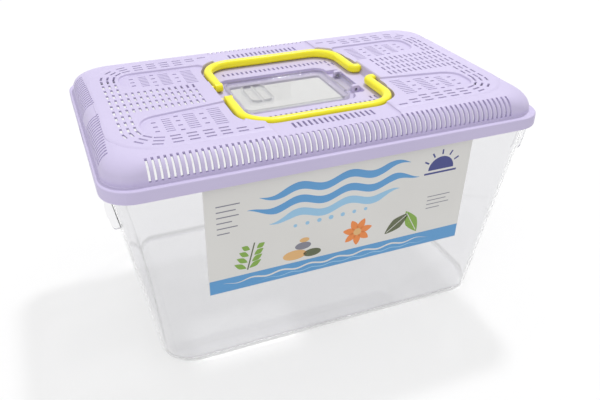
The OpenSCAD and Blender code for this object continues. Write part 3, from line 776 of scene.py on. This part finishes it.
# %% Stacking ribs and lid catches
RIB_Y, RIB_T, RIB_LOW, RIB_MID, RIB_OUT = 86.0, 2.0, 133.3, 148.3, 165.0
CATCH_X, CATCH_Y, CATCH_Z = 163.2, 12.8, 162.8
wall_x = taper(TUB_FOOT_L, TUB_TOP_L, RIB_LOW) / 2 - WALL / 2
profile = [(wall_x, RIB_LOW), (wall_x + 4.0, RIB_LOW), (wall_x + 5.2, RIB_LOW + 1.5), (RIB_OUT, RIB_MID),
           (RIB_OUT, RIM_TOP - 0.5), (RIB_OUT - 4, RIM_TOP - 0.5)]
bm = bmesh.new()
face = polygon(bm, profile, 0, [0, 0.8, 0.8, 3.0, 0, 0], segments=3)
raised(bm, [face], RIB_T)
placed(bm, bm.verts[:], Matrix.Rotation(math.pi / 2, 3, "X"), (0, RIB_Y + RIB_T, 0))
mirrored_all(bm)
combine(tub, plain_object("stacking_ribs", bm), "UNION")
bm = bmesh.new()
for end in (-1, 1):
    box_form(bm, (end * CATCH_X, -CATCH_Y, CATCH_Z), (end * FLANGE_L / 2, CATCH_Y, RIM_TOP - 0.6))
combine(tub, plain_object("catches", bm), "UNION")
finished(tub, "tub_shell", "tub", ["tank"], [CLEAR], sharp=40)

# %% [markdown]
# The feeding flap is a clear moulded plate with a raised rim and a tongue
# that ends in the hinge barrel, whose thin pins sit in the lugs. The plate and
# its rim are one skin of stacked outlines: up round the edge, over the rim and
# down to the plate inside it.

# %% Feeding flap
FLAP_L, FLAP_W, FLAP_R, FLAP_T, FLAP_RIM = 89.0, 64.0, 8.0, 2.0, 1.4
FLAP_X = (FLAP_X0 + FLAP_X1) / 2
BARREL_R, TONGUE_W, PIN_HALF = 2.2, 30.0, 19.0
crest = FLAP_T + FLAP_RIM
bm = bmesh.new()
rings = [outline(bm, FLAP_L - 2 * d, FLAP_W - 2 * d, FLAP_R - d, FLAP_Z + z, centre=(FLAP_X, 0))
         for d, z in ((0.5, 0), (0.15, 0.12), (0, 0.5), (0, crest - 0.5), (0.2, crest - 0.12),
                      (0.6, crest), (1.3, crest), (1.7, crest - 0.2), (1.9, crest - 0.6),
                      (2.1, FLAP_T + 0.4), (2.6, FLAP_T))]
bridged(bm, rings)
flap = plain_object("flap_plate", bm)
bm = bmesh.new()
box_form(bm, (FLAP_X1 - 1, -TONGUE_W / 2, FLAP_Z), (HINGE_X + 0.4, TONGUE_W / 2, FLAP_Z + FLAP_T))
combine(flap, plain_object("flap_tongue", bm), "UNION")
for radius, half in ((BARREL_R, TONGUE_W / 2), (FLAP_PIN_R, PIN_HALF)):
    bm = bmesh.new()
    rod(bm, (HINGE_X, -half, HINGE_Z), (HINGE_X, half, HINGE_Z), radius)
    combine(flap, plain_object("flap_barrel", bm), "UNION")
print("flap", FLAP_L, "x", FLAP_W, "mm")

# %% [markdown]
# The finger grip near the flap's free end is a raised ring with one bar
# across it.

# %% Finger grip of the flap
GRIP_L, GRIP_W, GRIP_R, GRIP_H, GRIP_SINK = 20.0, 34.0, 6, 2.4, 0.3
GRIP_X = FLAP_X0 + 10 + GRIP_L / 2
foot, head = FLAP_T - GRIP_SINK, FLAP_T + GRIP_H
bm = bmesh.new()
rings = [outline(bm, GRIP_L - 2 * d, GRIP_W - 2 * d, GRIP_R - d, FLAP_Z + z, centre=(GRIP_X, 0))
         for d, z in ((0, foot), (0.1, head - 0.5), (0.6, head), (1.4, head), (1.9, head - 0.5), (2.0, foot))]
bridged(bm, rings, cap_first=False, cap_last=False)
bmesh.ops.bridge_loops(bm, edges=[e for e in bm.edges if e.is_boundary])
grip = plain_object("flap_grip", bm)
bm = bmesh.new()
box_form(bm, (GRIP_X - 1, -GRIP_W / 2 + 1, FLAP_Z + foot), (GRIP_X + 1, GRIP_W / 2 - 1, FLAP_Z + head - 0.3))
combine(grip, plain_object("grip_bar", bm), "UNION")
combine(flap, grip, "UNION")
# Its upright faces take the greyer tint, which is painted shade along the flap's edges.
finished(flap, "feeding_flap", "flap", ["window_flap"], [CLEAR_FLAP, FLAP_SIDES_PAINTED_SHADE],
         sharp=40, sides=True)

# %% [markdown]
# Each handle is a rounded bar bent like a bail. Its section is drawn once as
# a rounded rectangle, pushed along the straight runs with extrude and round
# the bends with spin. The right end turns out towards its pin; the left end
# is cut straight, with a round eye that its pin stands on.

# %% Handle halves
HANDLE_L, HANDLE_OUT, BAR_W, BAR_T, BAR_EDGE, HANDLE_R = 124.0, 67.5, 7.0, 7.0, 3.0, 25.0
EYE_END, PIN_END, ELBOW_R = 64.8, 67.2, 3.6
EYE_R, EYE_HALF, STUB = 3.3, 2.9, 2.4
BAR_Y, ARM_X = HANDLE_OUT - BAR_W / 2, HANDLE_L / 2 - BAR_W / 2


def pushed(bm, face, vec):
    """Carries the end face of a bar straight on."""
    grown = bmesh.ops.extrude_face_region(bm, geom=[face])["geom"]
    bmesh.ops.translate(bm, verts=verts_of(grown), vec=vec)
    return face_of(grown)


def turned(bm, face, centre, angle, steps):
    """Carries the end face of a bar round a bend."""
    made = bmesh.ops.spin(bm, geom=[face], cent=centre, axis=(0, 0, 1), angle=angle, steps=steps,
                          use_merge=False, use_duplicate=False)["geom_last"]
    return face_of(made)


def half_bail(bm, way):
    """From the middle of the grip to the right end (way 1) or the left end (way -1)."""
    known = set(bm.verts)
    face = outline(bm, BAR_T, BAR_W, BAR_EDGE, 0, segments=6)
    placed(bm, face.verts[:], Matrix.Rotation(math.pi / 2, 3, "Y"), (0, BAR_Y, PIVOT_Z))
    face = pushed(bm, face, (HANDLE_L / 2 - HANDLE_R, 0, 0))
    face = turned(bm, face, (HANDLE_L / 2 - HANDLE_R, HANDLE_OUT - HANDLE_R, 0), -math.pi / 2, 16)
    face = pushed(bm, face, (0, -(HANDLE_OUT - HANDLE_R - PIVOT_Y - ELBOW_R), 0))
    if way > 0:
        face = turned(bm, face, (ARM_X + ELBOW_R, PIVOT_Y + ELBOW_R, 0), math.pi / 2, 8)
        face = pushed(bm, face, (EYE_END - 0.8 - ARM_X - ELBOW_R, 0, 0))
    else:
        face = pushed(bm, face, (0, -STUB, 0))
    inside = [f for f in bm.faces if all(len(e.link_faces) > 2 for e in f.edges)]
    bmesh.ops.delete(bm, geom=inside, context="FACES_ONLY")
    for inwards, out in ((0.25, 0.55), (0.55, 0.25)):
        bmesh.ops.inset_region(bm, faces=[face], thickness=inwards, depth=out, use_even_offset=True)
    bmesh.ops.delete(bm, geom=[f for f in bm.faces if all(abs(v.co.x) < 1e-4 for v in f.verts)],
                     context="FACES_ONLY")
    bmesh.ops.scale(bm, verts=[v for v in bm.verts if v not in known], vec=(way, 1, 1))


# %% [markdown]
# The rear handle is built first. The front one is the same bar with front and
# back exchanged. Their pins reach into the holes of the pocket's walls.

# %% Handles
def bail(name, body, node, side):
    """One handle: its two halves, the left eye and the two pins."""
    bm = bmesh.new()
    half_bail(bm, 1)
    half_bail(bm, -1)
    bmesh.ops.remove_doubles(bm, verts=bm.verts[:], dist=1e-3)
    bmesh.ops.scale(bm, verts=bm.verts[:], vec=(1, side, 1))
    bmesh.ops.recalc_face_normals(bm, faces=bm.faces[:])
    obj = plain_object(name, bm)
    y = side * PIVOT_Y
    bm = bmesh.new()
    rod(bm, (-ARM_X - EYE_HALF, y, PIVOT_Z), (-ARM_X + EYE_HALF, y, PIVOT_Z), EYE_R, segments=32)
    combine(obj, plain_object("left_eye", bm), "UNION")
    bm = bmesh.new()
    for end in (-1, 1):
        rod(bm, (end * (EYE_END - 2), y, PIVOT_Z), (end * PIN_END, y, PIVOT_Z), HANDLE_PIN_R)
    combine(obj, plain_object("pins", bm), "UNION")
    finished(obj, name, body, [node], [YELLOW], sharp=50)


bail("handle_bail_rear", "rear_handle", "handle_rear", 1)
bail("handle_bail_front", "front_handle", "handle_front", -1)

# %% [markdown]
# The card on the front wall is one sheet of printed board. Its print is plain
# decoration. Each motif is drawn flat with the ground plane as the sheet and
# gets the thickness of a coat of ink and its ink's colour. The whole sheet is
# laid on the leaning wall at the end.

# %% Label inks
LABEL_X0, LABEL_W, LABEL_T, LABEL_GAP = 1.0 - 209.0 / 2, 209.0, 0.24, 0.02
LAYER, COAT = 0.015, 0.012
LEAN = math.atan((TUB_TOP_W - TUB_FOOT_W) / 2 / RIM_UNDER)
LABEL_LOW, LABEL_HIGH = 65.0 / math.cos(LEAN), 161.0 / math.cos(LEAN)
LABEL_H = LABEL_HIGH - LABEL_LOW
ON_WALL = (Matrix.Translation((LABEL_X0, -TUB_FOOT_W / 2, 0)) @ Matrix.Rotation(LEAN + math.pi / 2, 4, "X")
           @ Matrix.Translation((0, LABEL_LOW, LABEL_GAP)))
INKS = {"board": (0.77, 0.76, 0.735), "blue": (0.12, 0.35, 0.66), "sky": (0.33, 0.58, 0.80),
        "orange": (0.86, 0.27, 0.07), "green": (0.24, 0.42, 0.07), "olive": (0.12, 0.14, 0.07),
        "tan": (0.78, 0.47, 0.20), "navy": (0.055, 0.065, 0.25), "grey": (0.24, 0.24, 0.29)}
INK = {name: i for i, name in enumerate(INKS)}
INK_MATERIALS = [moulded("printed_" + name, tuple(0.95 * c for c in color), color, 0.5,
                         grain=0.0006, depth=0.00002) for name, color in INKS.items()]
print("card", LABEL_W, "x", round(LABEL_H, 1), "mm,", len(INKS), "inks")


# %% [markdown]
# Three shapes make the whole print: an ellipse that can be pinched into a leaf
# or halved into a dome, a straight bar, and a waved band.

# %% Drawing helpers for the print
def flat_turn(degrees):
    """A turn in the sheet's plane."""
    return Matrix.Rotation(math.radians(degrees), 3, "Z")


def inked(bm, before, ink, layer):
    """Gives the flat shapes drawn since `before` the thickness and colour of one coat of ink."""
    flat = [f for f in bm.faces if f not in before]
    bmesh.ops.translate(bm, verts=list({v for f in flat for v in f.verts}),
                        vec=(0, 0, LABEL_T + LAYER * layer))
    raised(bm, flat, COAT)
    for face in bm.faces:
        if face not in before:
            face.material_index = INK[ink]


def disc(bm, u, v, ru, rv, ink, layer=1, turn=0.0, pinch=0.0, half=False):
    """An ellipse; pinched ends make it a leaf, half of it makes a dome."""
    before = set(bm.faces)
    verts = bmesh.ops.create_circle(bm, cap_ends=True, segments=32, radius=1)["verts"]
    for vert in verts:
        vert.co.y *= (1 - min(abs(vert.co.x), 1.0)) ** pinch if pinch else 1
        if half:
            vert.co.y = max(vert.co.y, 0.0)
    bmesh.ops.scale(bm, verts=verts, vec=(ru, rv, 1))
    placed(bm, verts, flat_turn(turn), (u, v, 0))
    inked(bm, before, ink, layer)


def bar(bm, u, v, length, width, ink, layer=1, turn=0.0):
    """A straight bar about its middle."""
    before = set(bm.faces)
    verts = list(outline(bm, length, width, 0, 0).verts)
    placed(bm, verts, flat_turn(turn), (u, v, 0))
    inked(bm, before, ink, layer)


def ripple(bm, u, v, length, width, swing, wave, ink, layer=1, rise=0.0):
    """A waved band; rise tilts it, and its ends run out to a point."""
    before = set(bm.faces)
    verts = bmesh.ops.create_grid(bm, x_segments=64, y_segments=1, size=0.5)["verts"]
    for vert in verts:
        ends = min(1.0, 6 * (0.5 - abs(vert.co.x)) + 0.02)
        vert.co.y = (vert.co.y * width * ends + swing * math.sin(2 * math.pi * vert.co.x * length / wave)
                     + rise * vert.co.x)
    bmesh.ops.scale(bm, verts=verts, vec=(length, 1, 1))
    bmesh.ops.translate(bm, verts=verts, vec=(u, v, 0))
    inked(bm, before, ink, layer)


# %% [markdown]
# The motifs, each with its own place in millimetres from the sheet's lower
# left corner.

# %% Motifs of the print
def water(bm):
    """A blue foot with pale ripples, three bands of water and a row of drops."""
    bar(bm, LABEL_W / 2, 6.5, LABEL_W - 0.6, 12.4, "blue")
    ripple(bm, 96, 7.4, 172, 1.5, 1.1, 23, "board", layer=2)
    ripple(bm, 110, 3.6, 148, 0.8, 0.7, 17, "sky", layer=2)
    for v, length, ink, rise in ((79, 118, "blue", 5), (67.5, 136, "blue", 4), (56.5, 104, "sky", 3)):
        ripple(bm, 98, v, length, 6.4, 2.6, 39, ink, rise=rise)
    for i in range(7):
        radius = 1.9 - 0.16 * abs(i - 3)
        disc(bm, 66 + 9.4 * i, 46.5 + 0.25 * i, radius, radius, "sky")


def sprig(bm):
    """A stem with four pairs of leaves that get smaller upwards."""
    bar(bm, 32, 28, 1.0, 24, "olive", turn=-14)
    for i in range(4):
        for side in (-1, 1):
            disc(bm, 29.4 + 1.5 * i + side * 5.6, 20.5 + 5.2 * i, 5.4 - 0.6 * i, 2.3, "green",
                 layer=2, turn=side * 32, pinch=0.45)


def pebbles(bm):
    """Four pebbles in a small heap."""
    for u, v, ru, rv, ink in ((66, 19.5, 9.5, 4.4, "tan"), (80, 18.6, 7.2, 3.5, "olive"),
                              (72.5, 26.6, 6.4, 3.3, "grey"), (73.5, 31.8, 3.9, 2.1, "tan")):
        disc(bm, u, v, ru, rv, ink, layer=2)


def flower(bm, u=117, v=28, petals=7, reach=6.6):
    """Petals round a button."""
    for k in range(petals):
        a = math.radians(360 * k / petals + 12)
        disc(bm, u + reach * math.cos(a), v + reach * math.sin(a), 5.8, 3.0, "orange",
             turn=math.degrees(a), pinch=0.25)
    disc(bm, u, v, 3.3, 3.3, "tan", layer=3)


def leaves(bm):
    """Two broad leaves with a pale midrib."""
    for u, v, turn, ink in ((151, 27, 38, "olive"), (164, 26, 118, "green")):
        disc(bm, u, v, 12.5, 5.4, ink, turn=turn, pinch=0.4)
        bar(bm, u, v, 21, 0.6, "board", layer=2, turn=turn)


def half_sun(bm, u=184, v=70, reach=14.8):
    """Half a disc over a line, with five rays."""
    disc(bm, u, v, 11, 11, "navy", half=True)
    bar(bm, u, v - 2.6, 28, 1.6, "navy")
    for k in range(5):
        a = math.radians(30 * k + 30)
        bar(bm, u + reach * math.cos(a), v + reach * math.sin(a), 4.2, 1.3, "navy", turn=math.degrees(a))


def rules(bm, u, top, pitch, width, lengths):
    """Plain grey rules of uneven length, one under the other."""
    for k, length in enumerate(lengths):
        bar(bm, u + length / 2, top - pitch * k, length, width, "grey")


# %% [markdown]
# The sheet itself, with slightly rounded corners, and then its print.

# %% Label card
bm = bmesh.new()
outline(bm, LABEL_W, LABEL_H, 0.6, 0, centre=(LABEL_W / 2, LABEL_H / 2), segments=3)
raised(bm, bm.faces[:], LABEL_T)
for motif in (water, sprig, pebbles, flower, leaves, half_sun):
    motif(bm)
rules(bm, 8, 76, 4.6, 0.9, (17, 14, 16, 11, 15, 9))
rules(bm, 176, 46, 3.6, 0.7, (20, 17, 20, 12))
bmesh.ops.transform(bm, matrix=ON_WALL, verts=bm.verts[:])
finished(plain_object("label", bm), "label_card", "tub", ["label"], INK_MATERIALS, sharp=40)

# %% [markdown]
# The camera stands where the photo's stood: in front of the left half and
# above, looking down at the keeper. Its angles, place and focal length come
# from one camera that was fitted to the photo.

# %% Camera
YAW, PITCH = math.radians(22.04), math.radians(30.98)
PHOTO_W_PX, FOCAL_PX, SENSOR_W = 600, 661.8, 36
forward = Vector((math.sin(YAW) * math.cos(PITCH), math.cos(YAW) * math.cos(PITCH), -math.sin(PITCH)))
camera = bpy.data.objects.new("camera", bpy.data.cameras.new("camera"))
bpy.context.scene.collection.objects.link(camera)
camera.location = (-0.1842, -0.4681, 0.3727)
camera.rotation_mode = "QUATERNION"
camera.rotation_quaternion = forward.to_track_quat("-Z", "Y")
camera.data.sensor_width = SENSOR_W
camera.data.lens = FOCAL_PX * SENSOR_W / PHOTO_W_PX
camera.data.clip_start, camera.data.clip_end = 0.01, 20
bpy.context.scene.camera = camera
print("camera lens", round(camera.data.lens, 2), "mm")

# %% [markdown]
# The photo is a cut-out on white. What surrounds the object is plain white
# where the camera sees it, also in a glint or through the clear walls, and a
# slightly weaker soft light from all sides.

# %% World
SOFT_LIGHT = 0.72


def seen_directly(tree):
    """1 for camera, mirror and see-through rays, 0 for light that a surface has scattered."""
    link = tree.links.new
    path = add(tree, "ShaderNodeLightPath")
    last = path.outputs["Is Camera Ray"]
    for kind in ("Is Glossy Ray", "Is Transmission Ray"):
        more = add(tree, "ShaderNodeMath", operation="MAXIMUM")
        link(last, more.inputs[0])
        link(path.outputs[kind], more.inputs[1])
        last = more.outputs[0]
    early = add(tree, "ShaderNodeMath", operation="LESS_THAN")
    early.inputs[1].default_value = 0.5
    both = add(tree, "ShaderNodeMath", operation="MULTIPLY")
    link(path.outputs["Diffuse Depth"], early.inputs[0])
    link(early.outputs[0], both.inputs[0])
    link(last, both.inputs[1])
    return both.outputs[0]


world = bpy.context.scene.world or bpy.data.worlds.new("world")
bpy.context.scene.world = world
world.use_nodes = True
tree = world.node_tree
tree.nodes.clear()
white, soft = add(tree, "ShaderNodeBackground"), add(tree, "ShaderNodeBackground")
white.inputs["Color"].default_value = soft.inputs["Color"].default_value = (1, 1, 1, 1)
soft.inputs["Strength"].default_value = SOFT_LIGHT
mix, out = add(tree, "ShaderNodeMixShader"), add(tree, "ShaderNodeOutputWorld")
tree.links.new(seen_directly(tree), mix.inputs["Fac"])
tree.links.new(soft.outputs[0], mix.inputs[1])
tree.links.new(white.outputs[0], mix.inputs[2])
tree.links.new(mix.outputs[0], out.inputs["Surface"])
bpy.context.scene.view_settings.view_transform = "Standard"
print("world light", SOFT_LIGHT)

# %% [markdown]
# The table is a pale matt floor. Its own glow, a little stronger where it is
# seen directly, brings it up to white, and the light that it reflects keeps
# the object's shadow.

# %% Table
TABLE_HALF, TABLE_GREY, TABLE_GLOW, TABLE_GLOW_MORE = 6000, 0.33, 0.45, 0.19
floor_mat, tree, shader = principled("floor", (TABLE_GREY,) * 3, 0.9, **{"Specular IOR Level": 0.0})
glow = add(tree, "ShaderNodeEmission")
scale = add(tree, "ShaderNodeMath", operation="MULTIPLY_ADD")
scale.inputs[1].default_value, scale.inputs[2].default_value = TABLE_GLOW_MORE, TABLE_GLOW
both = add(tree, "ShaderNodeAddShader")
tree.links.new(seen_directly(tree), scale.inputs[0])
tree.links.new(scale.outputs[0], glow.inputs["Strength"])
tree.links.new(shader.outputs[0], both.inputs[0])
tree.links.new(glow.outputs[0], both.inputs[1])
tree.links.new(both.outputs[0], tree.nodes["Material Output"].inputs["Surface"])
bm = bmesh.new()
bmesh.ops.create_grid(bm, x_segments=1, y_segments=1, size=TABLE_HALF)
floor = plain_object("floor", bm)
floor.data.transform(Matrix.Scale(MM, 4))
floor.data.materials.append(floor_mat)
floor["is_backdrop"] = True
print("table", 2 * TABLE_HALF * MM, "m wide")

# %% [markdown]
# The lid's shadow on the tub's floor gives the main light: it stands above,
# behind and to the right, so the faces turned to the camera are the darker
# ones. A large weak light from the left and the front fills in.

# %% Lamps
LAMP_AWAY = 3.0
TOWARDS_KEY = Vector((0.36, 0.39, 1.0)).normalized()
TOWARDS_FILL = Vector((-0.9, -0.5, 0.5)).normalized()


def softbox(name, towards, size, energy):
    """A square lamp that faces the object."""
    lamp = bpy.data.lights.new(name, "AREA")
    lamp.energy, lamp.size = energy, size
    obj = bpy.data.objects.new(name, lamp)
    bpy.context.scene.collection.objects.link(obj)
    obj.location = towards * LAMP_AWAY
    obj.rotation_mode = "QUATERNION"
    obj.rotation_quaternion = (-towards).to_track_quat("-Z", "Y")
    print(name, "at", [round(c, 2) for c in obj.location])


softbox("key", TOWARDS_KEY, 0.26, 40)
softbox("fill", TOWARDS_FILL, 1.6, 12)

# %% [markdown]
# The dressed model's box is measured and printed.

# %% Sizes and finish
low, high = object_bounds()
print("visual box", [round(v, 4) for v in (*low, *high)])
